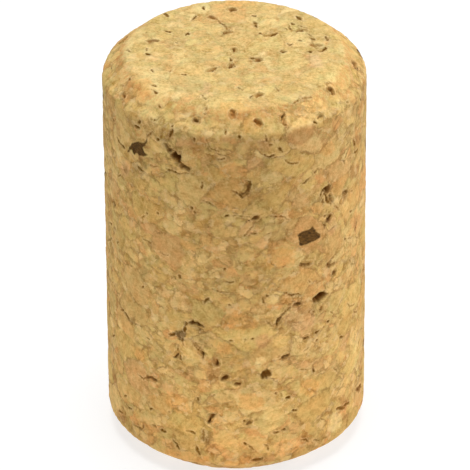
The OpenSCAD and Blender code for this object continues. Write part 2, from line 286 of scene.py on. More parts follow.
TOP_CREVICES = [
    (0.24, [(-2.7, 8.5), (-2.75, 8.2), (-2.65, 7.8)]),
    (0.12, [(-1.7, 6.2), (-1.2, 5.5), (-0.8, 4.7), (-0.5, 4.1)]),
    (0.35, [(-6.3, 7.3), (-6.1, 7), (-5.9, 6.6)]),
    (0.14, [(-3.4, 6.9), (-3.6, 6.3), (-3.9, 5.8)]),
    (0.26, [(-6.3, 4), (-6, 3.95), (-5.7, 3.8)]),
    (0.24, [(-4.35, 3.2), (-4.15, 3.6), (-3.95, 3.25)]),
    (0.30, [(-7.8, -0.05), (-7.4, -0.15)]),
    (0.22, [(-9.6, 0.65), (-9.4, 0.55)]),
    (0.12, [(-7.8, 1), (-7.8, 0.4)]),
    (0.18, [(-5.2, 1.9), (-5, 1.7)]),
    (0.12, [(-2.8, 0.3), (-2.4, 0.2), (-1.9, 0.1)]),
    (0.18, [(-0.35, -0.8), (-0.25, -1.4)]),
    (0.22, [(-0.5, -2.6), (-0.35, -1.95), (-0.05, -1.95), (0.05, -2.5)]),
    (0.24, [(-2.5, -3.3), (-2, -3.1), (-1.6, -2.6), (-1.3, -2.4)]),
    (0.30, [(1.5, -0.9), (1.8, -0.95)]),
    (0.22, [(-7.3, -2.9), (-7.1, -3.4)]),
    (0.18, [(-5.6, -3), (-5.7, -3.4)]),
    (0.26, [(-4.6, -3.8), (-4.2, -3.9)]),
    (0.30, [(1.6, 6.75), (1.95, 6.65)]),
    (0.34, [(1.8, 5.55), (1.95, 5.25)]),
    (0.14, [(1.95, 5.2), (2, 4.5)]),
    (0.30, [(5.6, 6.6), (5.85, 6.1), (6.05, 5.75)]),
    (0.22, [(0, 0.95), (0.02, 0.6), (0.05, 0.25)]),
    (0.18, [(2.25, 3.65), (2.5, 3.3), (2.9, 2.8)]),
    (0.34, [(3.2, 2.85), (3.45, 3.2), (3.85, 3.5)]),
    (0.30, [(5.15, 5.3), (5.35, 5.05)]),
    (0.16, [(5, 4.9), (4.9, 4.4), (5.3, 4.1)]),
    (0.20, [(2.25, 3.5), (2.5, 3.2)]),
    (0.20, [(2.6, 2.4), (2.75, 2.15)]),
    (0.34, [(6.8, 2.55), (7.1, 2.4)]),
    (0.24, [(8.1, 2.8), (8.25, 2.4), (8.3, 2)]),
    (0.30, [(6.6, 0.15), (6.85, 0.05)]),
    (0.26, [(4.1, 0.3), (4.3, 0), (4.6, 0.2)]),
    (0.16, [(4.7, 1.6), (4.9, 1.3), (5.2, 1.5)]),
    (0.26, [(5.75, 2.15), (6, 1.95)]),
    (0.30, [(7.5, 0.1), (7.9, 0.3), (8.1, 0.7), (8.05, 1)]),
    (0.22, [(-7.2, -5.6), (-6.8, -6)]),
    (0.24, [(-7.3, -6.3), (-7.1, -6.5), (-6.75, -7)]),
    (0.18, [(-2.4, -9.2), (-2.5, -9.6)]),
    (0.18, [(-2.6, -7.9), (-2.5, -8.2)]),
    (0.14, [(3.6, -6.2), (3.85, -6.8)]),
    (0.10, [(5.5, -8.2), (6, -7.8), (6.7, -7.4)]),
    (0.12, [(7, 6.9), (7.4, 6.2)]),
    (0.14, [(-9.5, 0.9), (-9.3, 0.3)]),
    (0.20, [(-7.9, 2.3), (-7.3, 2.35), (-6.6, 2.3)]),
    (0.16, [(-6.2, 4), (-5.7, 3.7)]),
    (0.16, [(-1.2, 3.8), (-0.6, 3.6), (-0.2, 3.7)]),
    (0.14, [(-0.9, 5.1), (-0.6, 4.5)]),
    (0.16, [(5.3, 3.9), (5.9, 3.8), (6.4, 3.95)]),
    (0.12, [(4.6, 4.4), (4.8, 4.1)]),
    (0.12, [(6.6, 3.4), (6.9, 2.9)]),
    (0.14, [(5.6, 5), (6.3, 4.5)]),
    (0.16, [(4.2, 0.5), (4.4, 0.1), (4.7, 0.2)]),
    (0.12, [(1.3, -7.9), (1.6, -7.4)]),
    (0.12, [(-2.9, -7.3), (-2.7, -7.9)]),
    (0.12, [(0.3, -6), (0.7, -6.7)]),
]

SIDE_PATCHES = [
    # tone, corners
    ("bark", [
        (-54, 31.9), (-52.5, 32.5), (-50.2, 33.2), (-48, 33.5), (-46.5, 33.7), (-43.3, 33.8),
        (-42.2, 34), (-40.8, 34.5), (-41.2, 34), (-42.3, 33.6), (-43.7, 33.4), (-42.5, 32.95),
        (-40.3, 32.85), (-43, 32.5), (-46, 32.35), (-47.5, 32.5), (-49, 32.1), (-50.3, 32.5),
        (-51.3, 32.5), (-52.5, 32.1),
    ]),
    ("bark", [
        (27.7, 25.5), (30, 25.6), (34, 25.6), (35.4, 25.8), (36.2, 25.5), (37.5, 25.1),
        (39.8, 24.6), (39.5, 24.3), (36, 24.2), (29.5, 24.15), (28.7, 24.3), (28.6, 24.8),
    ]),
    ("grey", [(-46, 32.3), (-42, 31.9), (-40.5, 31.3), (-44, 31.4), (-46, 31.8)]),
    ("grey", [(-55.5, 14.2), (-52, 14.9), (-50, 15.1), (-49.5, 14.2), (-53, 14)]),
    ("olive", [(2.5, 14.1), (6.5, 14), (6, 13.2), (3, 13.1)]),
    ("olive", [(-20, 15.8), (-11, 15.9), (-9, 15), (-12, 14.1), (-16, 14.3), (-20, 15)]),
    ("olive", [(11, 27.4), (21, 27.5), (24, 25.7), (20, 24.8), (12, 25.5)]),
    ("orange", [(-5.5, 17.7), (2.5, 18.1), (9, 17.5), (9.5, 16.4), (2, 16.2), (-4.5, 16.4)]),
    ("orange", [(-8, 33), (0, 33.8), (5, 33.1), (6, 32.2), (-4, 32)]),
    ("gold", [
        (24, 36.9), (25, 37.5), (30, 37.7), (40, 37.7), (47, 37.4), (48, 36.8), (44, 36.3),
        (36, 36.2), (27, 36.3),
    ]),
    ("cream", [(-47, 37.3), (-43, 37.5), (-40, 37.1), (-39.5, 36.7), (-42, 36.4), (-46.5, 36.5)]),
    ("brown", [(-68, 37.7), (-60, 37.9), (-55, 37.4), (-54, 36.8), (-60, 36.6), (-67, 36.9)]),
    ("brown", [(-20, 35.8), (-15, 36.1), (-11.5, 35.4), (-13, 34.4), (-18, 34.3), (-20, 34.9)]),
    ("smoke", [
        (-30.5, 14.7), (-28.5, 15.3), (-26, 15.6), (-23.8, 15.9), (-22.6, 16.6), (-21.9, 16.4),
        (-21.8, 15.6), (-22.3, 15.1), (-23.5, 14.5), (-25.8, 14.6), (-27, 14.9),
    ]),
    ("orange", [(4, 37.4), (10, 37.6), (12, 36.8), (9, 36.2), (4, 36.5)]),
    ("orange", [(-34, 2.4), (-22, 2.9), (-12, 2.6), (-13, 1.2), (-24, 0.8), (-33, 1.2)]),
    ("orange", [(-8, 2.2), (2, 2.6), (6, 1.6), (2, 0.7), (-7, 0.9)]),
    ("peach", [(15.5, 3.7), (20, 4.1), (26, 3.9), (30, 3.2), (27, 2.3), (18, 2.3)]),
    ("peach", [(-36, 3.4), (-31, 3.5), (-28, 2.9), (-31, 2.4), (-36, 2.6)]),
    ("brown", [(-14, 3.8), (-9, 3.9), (-6.5, 3.1), (-9, 2.7), (-14, 2.9)]),
    ("orange", [(-32, 8.9), (-22, 8.6), (-20, 7), (-27, 6.6), (-33, 7.4)]),
    ("pink", [(21, 17.2), (28, 17.9), (36, 17.1), (38, 15.6), (30, 15.1), (23, 15.7)]),
    ("gold", [(16, 15.2), (20, 15.4), (25, 15), (24, 14.1), (19, 13.9), (16, 14.3)]),
    ("pink", [(8, 15.6), (14, 15.8), (15, 14.8), (12, 14.2), (8, 14.4)]),
    ("orange", [(-8, 15.1), (-3, 15), (-1.5, 13.9), (-6, 13.4), (-9, 14)]),
    ("cream", [(1, 16.2), (6, 16.1), (6.5, 15.2), (3, 14.9), (0.5, 15.4)]),
    ("cream", [(12.5, 19.9), (19, 20.1), (20, 18.9), (15.5, 18.5), (13, 19)]),
    ("pale", [(9.5, 13.4), (12.5, 13.4), (13, 12.6), (9.5, 12.1), (7.8, 12.6)]),
    ("loam", [(11, 12.1), (15.2, 11.9), (15.8, 10.9), (11, 10.5), (9.8, 11)]),
    ("loam", [(8.5, 37.3), (13, 37.3), (13, 36.9), (9, 36.9)]),
    ("cream", [(-24, 14.1), (-20, 13.9), (-15.5, 13.3), (-17, 12.2), (-23, 12), (-25, 12.8)]),
    ("brown", [(-13, 13), (-9, 13.6), (-6.5, 12), (-8, 10.3), (-12.5, 10.4)]),
    ("orange", [(-50, 12.1), (-45, 12.2), (-44, 11), (-48, 10.4), (-51, 10.9)]),
    ("pink", [(44.5, 25.7), (49, 26), (50.5, 24.5), (46.5, 23.8), (44, 24.5)]),
    ("pale", [
        (44.5, 3.3), (46, 4.3), (49, 4.9), (52, 4.6), (54.5, 3.9), (55, 2.9), (50, 2.7), (46, 2.9),
    ]),
    ("brown", [(50, 6.1), (56, 6), (61.5, 4.6), (58, 3.9), (54, 5)]),
    ("orange", [(29, 10), (38, 9.5), (40.5, 8.3), (34, 7.8), (29, 8.6)]),
    ("brown", [(-68, 3.2), (-60, 3.8), (-57, 3), (-62, 2.2), (-69, 2.4)]),
    ("olive", [(-13, 9.2), (-3, 9.6), (-2, 8.4), (-9, 8), (-14, 8.3)]),
    ("grey", [(-16, 5.6), (-11, 5.4), (-9.5, 4.3), (-13, 3.8), (-16.5, 4.3)]),
    ("orange", [(1, 9.6), (11, 9.5), (13, 8.2), (6, 7.6), (0, 8)]),
    ("cream", [(13, 8), (20, 7.6), (22, 6.4), (15, 6), (11, 6.8)]),
    ("cream", [(11, 5.9), (18, 5.8), (18.5, 5.1), (14, 4.4), (10.5, 5)]),
    ("cream", [(-24, 23.6), (-17, 24), (-13, 22.6), (-17, 21.4), (-24, 21.8)]),
    ("orange", [(12, 24.3), (20, 24.6), (27, 23.9), (26, 22.6), (15, 22.4)]),
    ("orange", [(40, 34), (47, 33.6), (49, 32.6), (43, 32.3), (39, 33)]),
    ("pink", [(-58, 30.9), (-52, 30.7), (-53, 29.5), (-58, 28.9), (-60, 29.6)]),
    ("brown", [(70, 31.9), (75, 31.3), (77, 30.5), (72, 30.6), (69, 31.3)]),
    ("cream", [(54, 26.5), (58, 26.7), (60, 25.8), (57, 25.2), (54, 25.6)]),
    ("cream", [(56, 33.2), (60, 33), (63, 32.4), (60, 31.6), (56, 32)]),
    ("cream", [(54, 23.8), (58, 24), (59, 22.9), (55, 22.7)]),
    ("cream", [(66, 24.8), (71, 24.4), (72, 23.4), (68, 23.6)]),
    ("brown", [(60, 29.6), (66, 29.4), (71, 28.6), (66, 27.8), (60, 28.2)]),
    ("cream", [(62, 12.2), (70, 11.6), (72, 9.8), (66, 9), (61, 10.4)]),
    ("brown", [(-73, 6.6), (-67, 6.4), (-66, 5.4), (-71, 5.2)]),
    ("cream", [(-76, 12.4), (-71, 12.2), (-73, 11), (-77, 11.2)]),
    ("olive", [(-74, 15.6), (-68, 15.2), (-69, 13.9), (-75, 14.1)]),
    ("cream", [(-66, 13.2), (-61, 13.4), (-60, 12.2), (-65, 11.9)]),
    ("brown", [(-74, 24), (-69, 24.2), (-68, 23.2), (-73, 23)]),
    ("cream", [(-64, 31.6), (-59, 31.2), (-60, 30.4), (-65, 30.6)]),
    ("cream", [(50, 36.6), (56, 36.9), (60, 36.3), (57, 35.6), (51, 35.8)]),
    ("cream", [(54, 31.4), (58, 31.2), (59, 30.3), (55, 30.4)]),
    ("olive", [(61, 36), (68, 35.6), (70, 34.4), (64, 34.2), (60, 35)]),
    ("brown", [(-76, 6.6), (-71, 6.5), (-69, 5.8), (-74, 5.5)]),
    ("brown", [(-64, 34.4), (-60, 34), (-58, 32.9), (-62, 32.8)]),
    ("brown", [(63, 32.4), (70, 32), (73, 31.2), (67, 31), (63, 31.6)]),
    ("brown", [(64, 24.2), (67, 23.6), (67, 22.4), (64, 22.5), (63, 23.4)]),
    ("brown", [(-60, 38.3), (-52, 38.3), (-46, 38), (-47, 37.3), (-54, 37.2), (-60, 37.4)]),
    ("brown", [(-40, 38.3), (-33, 38.2), (-34, 37.8), (-40, 37.8)]),
    ("brown", [(23, 36.1), (30, 36.2), (37, 36), (36, 34.9), (29, 34.5), (23, 34.9)]),
    ("cream", [(-28, 37.5), (-24, 37.6), (-18, 37.4), (-20, 36.6), (-27, 36.6)]),
    ("brown", [(-4, 38), (2, 38.1), (8, 37.9), (7, 37.3), (1, 37.2), (-3, 37.3)]),
    ("brown", [(-31, 36.2), (-27, 36.3), (-26, 35.4), (-30, 35.1)]),
    ("pink", [(9, 35.9), (14, 36), (16, 34.9), (11, 34.4)]),
]

TOP_PATCHES = [
    ("olive", [(-5.5, -4), (-3, -4.1), (-2.2, -6), (-4, -7.5), (-5.6, -6.4)]),
    ("olive", [(-4, -0.2), (-2, 0.1), (-1.6, -1.5), (-3.1, -1.6)]),
    ("cream", [(-5.6, 0.4), (-4.4, 0.5), (-4.1, -1.6), (-5.3, -1.7)]),
    ("pink", [(6.3, -0.6), (7.6, -0.5), (7.9, -2.6), (6.8, -2.9)]),
    ("olive", [(5.7, -2.2), (6.9, -2.6), (6.8, -3.8), (5.8, -3.6)]),
    ("orange", [(-9, -4.5), (-7.5, -4.4), (-6.6, -6), (-8, -7.4), (-9.3, -6)]),
    ("cream", [(-8.3, -7.3), (-6.6, -7), (-5.7, -8.5), (-7.2, -9)]),
    ("cream", [(4.6, -8.9), (6.2, -8), (8.1, -7.6), (8.7, -7.9), (6.9, -9.4), (5, -10.2)]),
    ("orange", [(-1.3, -8.7), (1.2, -8.6), (1.6, -9.8), (0.3, -10.5), (-1.3, -9.8)]),
    ("orange", [(-0.5, 9.6), (1.6, 9.5), (2, 8.6), (0.2, 8.3), (-1.2, 8.8)]),
    ("cream", [(2.2, 6), (3.6, 6.3), (4.2, 4.8), (3, 4.2), (2.1, 4.9)]),
    ("cream", [(6.9, 2), (7.9, 2.1), (7.9, 1.5), (7.2, 1.3)]),
    ("pink", [(-3, -5), (-2.1, -5.2), (-2.2, -7.4), (-3.1, -7)]),
    ("cream", [(8.2, -3.6), (9.1, -3.8), (8.9, -5.6), (8, -5)]),
]


def paint(red, green, blue):
    """A colour as a paint card reads it, made linear."""
    return tuple(((c / 255 + 0.055) / 1.055) ** 2.4 for c in (red, green, blue))


PLAIN = paint(222, 189, 120)
PALE = paint(246, 220, 164)
BROWN = paint(134, 90, 32)
# the paler of two painted shades in the crevices
SOFT_CREVICE_SHADE = paint(134, 96, 30)
# painted shade inside the voids, and deeper on their floors
VOID_SHADE = paint(164, 122, 58)
VOID_FLOOR_SHADE = paint(112, 74, 28)
# the darker painted shade in the crevices, mostly on the ends, where the light falls straight in
DEEP_CREVICE_SHADE = paint(102, 66, 18)
RUST = paint(214, 140, 76)
BARK_DARK, BARK_LIGHT = paint(54, 38, 10), paint(132, 96, 42)
SIDE_TONE_AND_SHADE = (0.92, 0.81, 0.695)       # the pressed side against the cut ends: partly its own tone, partly painted shade of the side against the lit ends
HUE_SWING, HUE_MIDDLE = (0.32, -0.05, -0.16), (1.01, 1.02, 1.06)
SHADE_TINT, LIGHT_TINT = (0.72, 0.9, 1.3), (0.45, 0.5, 0.7)
# how much painted shade darkens the side high up, below the shoulder, and how much warmer it is low
# down
UPPER_SHADE, LOWER_WARMTH = 0.07, (0.05, 0.0, -0.05)
GRANULE_TONES = (
    # lottery number, colour
    (0.05, paint(226, 196, 122)),
    (0.2, paint(216, 180, 108)),
    (0.32, paint(231, 201, 134)),
    (0.44, paint(219, 186, 114)),
    (0.55, paint(222, 174, 108)),
    (0.66, paint(226, 193, 122)),
    (0.77, paint(212, 184, 115)),
    (0.87, paint(218, 176, 114)),
    (0.97, paint(235, 205, 138)),
)
TONES = {
    # colour, and how much of it shows
    "smoke": (*paint(86, 60, 28), 0.85),
    "grey": (*paint(124, 94, 50), 0.5),
    "olive": (*paint(200, 174, 112), 0.5),
    "cream": (*paint(246, 218, 144), 0.5),
    "pale": (*paint(255, 234, 166), 0.7),
    "gold": (*paint(252, 214, 136), 0.65),
    "loam": (*paint(206, 172, 100), 0.95),
    "orange": (*paint(240, 182, 104), 0.45),
    "peach": (*paint(250, 204, 134), 0.7),
    "pink": (*paint(220, 176, 126), 0.5),
    "brown": (*paint(182, 130, 72), 0.5),
}

# ---------------------------------------------------------------- patterns and finishes
# A pair is where something starts and where it is whole: a pick is among the lottery numbers, spots are
# in the pattern's own measure, and the rest are in millimetres.

NOISES = {
    # how far off it is read so that no two line up, its scale, detail and roughness
    "drift": (0.0, 0.32, 2.0, 0.5),
    "granule edges": (0.0, 1.7, 4.0, 0.75),
    "wear": (0.0, 1.4, 3.0, 0.5),
    "ripple": (0.0, 0.12, 2.0, 0.5),
    "fray": (0.0, 3.0, 3.0, 0.7),
    "streaks": (0.0, 1.0, 3.0, 0.6),
    "bark rings": (0.0, 1.6, 3.0, 0.7),
    "hue": (7.0, 1.0, 3.0, 0.5),
    "wisps": (11.0, 6.0, 2.0, 0.7),
    "grain": (19.0, 1.3, 5.0, 0.85),
    "pits": (31.0, 0.7, 2.0, 0.5),
    "speck": (43.0, 4.2, 3.0, 0.8),
    "seams": (71.0, 0.8, 2.0, 0.5),
    "gaps": (83.0, 0.9, 3.0, 0.5),
    "breaks": (97.0, 2.4, 2.0, 0.5),
}
SPOTS = {
    "pits": (0.5, 0.62),
    "seams": (0.45, 0.62),
    "gaps": (0.63, 0.71),
    "breaks": (0.3, 0.55),
}
EDGES = {
    # how ragged a mark's edge is, and across what it fades
    "patch": (0.8, -0.2, 0.12),
    "crumbs": (0.6, 0.0, 0.45),
    "seams": (0.3, 0.0, 0.2),
    # the brown beside the voids and crevices
    "stain": (0.4, -0.02, 0.2),
    "bark": (0.2, -0.07, 0.09),
    "gaps": (0.14, 0.0, 0.07),
}
FLECKS_OFF, FLECK_FRAY = 31.0, 0.4
CRUMBS_OFF, CRUMB_FRAY = 57.0, 0.7
STREAK_TURN, STREAK_SHAPE = 40.0, (0.9, 4.5, 0.9)
BARK_SHAPE, BARK_LEAN = (2.0, 2.0, 1.2), (3.0, 0.0, 0.0)

SKIN_DEEP = (0.0, 0.4)                # from an end to where the pressed skin is whole
PIT_PICK, CHIP_PICK = (0.78, 0.9), (0.76, 0.88)
SCORCH_IN, SCORCH_OUT, SCORCH_SPOTS = (0.04, 0.25), (0.5, 1.3), (-0.12, 0.15)
RIM_WIDTH = 0.22                      # from a void's floor out to its rim
# a broken pale band beside the voids and crevices: a painted highlight on their rims
HIGHLIGHT_IN, HIGHLIGHT_OUT, HIGHLIGHT_SPOTS = (0.02, 0.08), (0.1, 0.24), (-0.15, 0.1)
BARK_SPECKLE, BARK_SPOTS = 0.5, (0.28, 0.78)
WILD_PICK, WILD_EDGE = (0.93, 0.935), (0.0, 0.06)
CRACK_FRAY, CRACK_EDGE = 0.26, (-0.06, 0.04)
MOUTH_FRAY, MOUTH_EDGE, FLOOR_DEPTH = 0.3, (0.02, 0.4), (0.35, 0.9)
SIDE_RAG, SIDE_FROM = 0.4, (1.6, 2.0)  # the side begins this far from an end
UPPER_FROM, LOWER_TO = (24.0, 34.0), (2.0, 7.0)  # heights that the side's painted shade high up and its warmth low down run between
GRANULE_EDGE = (0.0, 0.5)             # from its edge to its full height

# How strongly each shows: on a cut end and how much more or less on the pressed side, or inside the
# granules and how much more between them
GRAIN_SHOWS, GRAIN_MORE = 1.08, 0.15
SPECK_SHOWS, SPECK_LESS = 1.4, 0.65
CRUMB_SHOWS, CRUMB_MORE = 0.1, 0.3
CHIP_SHOWS, CHIP_MORE = 0.14, 0.4
FLECK_SHOWS, STREAK_SHOWS, GRANULE_SHOWS = 0.14, 0.6, 0.45
PIT_SHOWS, SEAM_SHOWS, SCORCH_SHOWS, BROWN_RIM_SHOWS, HIGHLIGHT_SHOWS = 0.45, 0.4, 0.45, 0.25, 0.4
END_TONES, END_LOOSE, END_SOFT_SHADE, UNBROKEN = 0.7, 0.4, 0.3, 0.6

# The relief that is too fine for the mesh
GRAIN_RISE, SPECK_RISE, STREAK_RISE, GRANULE_RISE, CRUMB_RISE = 0.12, 0.05, 0.04, 0.08, 0.06
PIT_FALL, SEAM_FALL = 0.06, 0.05

# ---------------------------------------------------------------- node trees


class Wire:
    """One output of a node, with plain arithmetic on it."""

    def __init__(self, graph, socket):
        self.graph, self.socket = graph, socket

    def is_vector(self):
        return self.socket.type in ("VECTOR", "RGBA")

    def work(self, operation, *values):
        kind = "ShaderNodeMath"
        if any(isinstance(v, tuple) or isinstance(v, Wire) and v.is_vector() for v in values):
            kind = "ShaderNodeVectorMath"
            values = [(v, v, v) if isinstance(v, (int, float)) else v for v in values]
        node = self.graph.add(kind, {"operation": operation}, dict(enumerate(values)))
        return node["Vector" if kind == "ShaderNodeVectorMath" else "Value"]

    def __add__(self, other):
        return self.work("ADD", self, other)

    def __radd__(self, other):
        return self.work("ADD", other, self)

    def __sub__(self, other):
        return self.work("SUBTRACT", self, other)

    def __rsub__(self, other):
        return self.work("SUBTRACT", other, self)

    def __mul__(self, other):
        return self.work("MULTIPLY", self, other)

    def __rmul__(self, other):
        return self.work("MULTIPLY", other, self)

    def lowest(self, other):
        return self.work("MINIMUM", self, other)

    def highest(self, other):
        return self.work("MAXIMUM", self, other)

    def size(self):
        return self.work("ABSOLUTE", self)

    def rises(self, low, high, kind="SMOOTHSTEP"):
        """0 up to low, 1 from high, and smooth or straight between."""
        values = {"Value": self, "From Min": low, "From Max": high}
        return self.graph.add("ShaderNodeMapRange", {"interpolation_type": kind}, values)["Result"]

    def falls(self, low, high):
        return 1 - self.rises(low, high)

    def lifted(self, low):
        """From low to 1 instead of from 0 to 1."""
        return self * (1 - low) + low

    def parts(self):
        node = self.graph.add("ShaderNodeSeparateXYZ", {}, {"Vector": self})
        return [node[k] for k in "XYZ"]


class Node:
    """A node, whose outputs are picked by name."""

    def __init__(self, graph, node):
        self.graph, self.node = graph, node

    def __getitem__(self, key):
        return Wire(self.graph, next(s for s in self.node.outputs if key in (s.identifier, s.name)))


class Graph:
    """A node tree built by calls: each names a node's type, its settings and what goes into it."""

    def __init__(self, tree):
        self.tree = tree

    def add(self, kind, settings, values):
        node = self.tree.nodes.new(kind)
        for name, value in settings.items():
            setattr(node, name, value)
        for key, value in values.items():
            if isinstance(key, int):
                socket = node.inputs[key]
            else:
                socket = next(s for s in node.inputs if key in (s.identifier, s.name))
            if isinstance(value, Wire):
                self.tree.links.new(value.socket, socket)
            else:
                socket.default_value = value
        return Node(self, node)

    def noise(self, place, name):
        """One of the noises above, read at a place."""
        off, scale, detail, rough = NOISES[name]
        values = {"Scale": scale, "Detail": detail, "Roughness": rough}
        values["Vector"] = place + off if off else place
        return self.add("ShaderNodeTexNoise", {}, values)

    def soft_cells(self, place, size, blur):
        """A lottery number of three parts for each cell, blurred where cells meet."""
        values = {"Vector": place * (1 / size), "Scale": 1.0, "Smoothness": blur}
        return self.add("ShaderNodeTexVoronoi", {"feature": "SMOOTH_F1"}, values)["Color"]

    def edge_distance(self, place, size):
        """How far a place is from the edge of its cell."""
        values = {"Vector": place * (1 / size), "Scale": 1.0}
        cell = self.add("ShaderNodeTexVoronoi", {"feature": "DISTANCE_TO_EDGE"}, values)
        return cell["Distance"] * size

    def mix(self, first, second, share):
        """The first colour, and the second over it by its share."""
        colours = [(*c, 1.0) if isinstance(c, tuple) else c for c in (first, second)]
        values = {"Factor_Float": share, "A_Color": colours[0], "B_Color": colours[1]}
        return self.add("ShaderNodeMix", {"data_type": "RGBA"}, values)["Result_Color"]

    def ramp(self, share, stops):
        """The colour that a share from 0 to 1 picks among some stops."""
        node = self.add("ShaderNodeValToRGB", {}, {"Fac": share})
        elements = node.node.color_ramp.elements
        while len(elements) < len(stops):
            elements.new(1.0)
        for element, (at, colour) in zip(elements, stops):
            element.position = at
            element.color = (*colour, 1)
        return node["Color"]

    def attribute(self, name):
        return self.add("ShaderNodeAttribute", {"attribute_name": name}, {})


def granules(g, place):
    """The pressed granules at a place: a lottery number of three parts for each granule, and the
    distance to its edge."""
    drift = g.noise(place, "drift")["Color"] - 0.5
    ragged = g.noise(place, "granule edges")["Color"] - 0.5
    bent = place * GRANULE_SQUASH + drift * GRANULE_BEND + ragged * GRANULE_FRAY
    large = g.soft_cells(bent, LARGE_GRANULE, LARGE_BLUR)
    small = g.soft_cells(bent, SMALL_GRANULE, SMALL_BLUR)
    is_small = large.parts()[2].rises(*SMALL_PICK)
    large_edge = g.edge_distance(bent, LARGE_GRANULE)
    small_edge = g.edge_distance(bent, SMALL_GRANULE) + (1 - is_small) * LARGE_GRANULE
    return large + (small - large) * is_small, large_edge.lowest(small_edge)


# ---------------------------------------------------------------- skin


def edge_outline():
    """The outline of one end in (radius, height below the end), from the axis out to the side."""
    run = math.atan2(CHAMFER_IN, CHAMFER_UP)
    face_turn = math.pi / 2 - run
    face_tangent = FACE_ROUND * math.tan(face_turn / 2)
    side_tangent = SIDE_ROUND * math.tan(run / 2)
    arcs = (
        (RADIUS - CHAMFER_IN - face_tangent, FACE_ROUND, FACE_ROUND, 0, face_turn),
        (RADIUS - SIDE_ROUND, CHAMFER_UP + side_tangent, SIDE_ROUND, face_turn, run),
    )
    points = [(0, 0)]
    for across, down, r, start, turn in arcs:
        for a in np.linspace(start, start + turn, ARC_POINTS):
            points.append((across + r * math.sin(a), down - r * math.cos(a)))
    return np.array(points)


def whole_outline():
    """Distances along the outline, and (radius, height) there, from the middle of the base to the
    middle of the top."""
    end = edge_outline()
    points = np.vstack([end, (end * (1, -1) + (0, LENGTH))[::-1]])
    along = np.concatenate([[0], np.cumsum(np.hypot(*np.diff(points, axis=0).T))])
    return along, points


ALONG, OUTLINE = whole_outline()
END_RUN = ALONG[1]
SIDE_RUN = ALONG[-1] - 2 * END_RUN


def on_outline(s):
    """(radius, height) at some distances along the outline."""
    return [np.interp(s, ALONG, OUTLINE[:, k]) for k in (0, 1)]


def skin_points(angle, s):
    """Places and outward normals on the ideal skin. Angle 0 faces the front, -Y."""
    step = 0.02
    r, z = on_outline(s)
    ahead, behind = (on_outline(np.clip(s + d, 0, ALONG[-1])) for d in (step, -step))
    dr, dz = ahead[0] - behind[0], ahead[1] - behind[1]
    size = np.hypot(dr, dz)
    x, y = np.sin(angle), -np.cos(angle)
    return (
        np.stack([r * x, r * y, z], -1),
        np.stack([dz / size * x, dz / size * y, -dr / size], -1),
    )


def side_place(angle, height):
    """A side mark's (angle, distance along the outline)."""
    return math.radians(angle), float(np.interp(height, OUTLINE[:, 1], ALONG))


def top_place(across, back):
    """A top mark's (angle, distance along the outline)."""
    upper = OUTLINE[:, 1] > LENGTH / 2
    outwards, s = OUTLINE[upper, 0][::-1], ALONG[upper][::-1]
    return math.atan2(across, -back), float(np.interp(math.hypot(across, back), outwards, s))


def disc_turn(a, b):
    """Which way from the middle a corner of a square grid lies once the square is made a disc."""
    if abs(a) >= abs(b):
        return math.pi / 4 * (b / a if a else 0) + (math.pi if a < 0 else 0)
    return math.pi / 2 - math.pi / 4 * a / b + (math.pi if b < 0 else 0)


def box_grid(columns, rows):
    """Faces of a box whose lid and base are columns x columns, and (angle, distance along the outline)
    for each corner. The lid and base map to discs, so the skin has no poles."""
    places, faces = [], []
    side = np.linspace(-1, 1, columns + 1)

    def cap(at_top):
        """Lays the lid or the base, and gives the corners round its rim."""
        index = {}
        for i, a in enumerate(side):
            for j, b in enumerate(side):
                index[i, j] = len(places)
                s = max(abs(a), abs(b)) * END_RUN
                places.append((disc_turn(a, b), ALONG[-1] - s if at_top else s))
        for i in range(columns):
            for j in range(columns):
                face = [index[i, j], index[i + 1, j], index[i + 1, j + 1], index[i, j + 1]]
                faces.append(face if at_top else face[::-1])
        n = columns
        rim = [(n, j) for j in range(n)] + [(n - i, n) for i in range(n)]
        rim += [(0, n - j) for j in range(n)] + [(i, 0) for i in range(n)]
        return [index[ij] for ij in rim]

    ring = cap(False)
    angles = [places[k][0] for k in ring]
    last = cap(True)
    for k in range(1, rows + 1):
        if k < rows:
            s = END_RUN + SIDE_RUN * k / rows
            above = list(range(len(places), len(places) + len(ring)))
            places += [(a, s) for a in angles]
        else:
            above = last
        for i in range(len(ring)):
            j = (i + 1) % len(ring)
            faces.append([ring[i], ring[j], above[j], above[i]])
        ring = above
    return np.array(places), faces


class Crevices:
    """The charted crevices as beads along their lines, each with the crevice's half width there."""

    def __init__(self):
        self.beads = []
        for width, points in SIDE_CREVICES:
            self.lay(width * SIDE_SPREAD, [side_place(*p) for p in points])
        for width, points in TOP_CREVICES:
            self.lay(width * TOP_SPREAD, [top_place(*p) for p in points])
        self.tree = KDTree(len(self.beads))
        for k, (place, _) in enumerate(self.beads):
            self.tree.insert(place, k)
        self.tree.balance()

    def lay(self, half_width, places):
        """Beads along one crevice, which strays a little and tapers to its ends."""
        line = np.array([skin_points(np.array([a]), np.array([s]))[0][0] for a, s in places])
        run = np.concatenate([[0], np.cumsum(np.linalg.norm(np.diff(line, axis=0), axis=1))])
        count = max(3, int(run[-1] / BEAD_GAP))
        for t in np.linspace(0, 1, count):
            place = Vector([np.interp(t * run[-1], run, line[:, k]) for k in range(3)])
            stray = Vector()
            for scale, far in BEAD_STRAYS:
                stray += noise.noise_vector(place * scale) * far
            taper = (4 * t * (1 - t)) ** 0.5 * (1 - TIP_WIDTH) + TIP_WIDTH
            swell = 1 + SWELL * noise.noise(place * SWELL_SCALE)
            self.beads.append((place + stray * min(1, run[-1]), half_width * taper * swell))

    def distance(self, place):
        """From a place to the nearest edge of a crevice, negative inside it."""
        return min(away - self.beads[k][1] for _, k, away in self.tree.find_n(place, BEADS_NEAR))


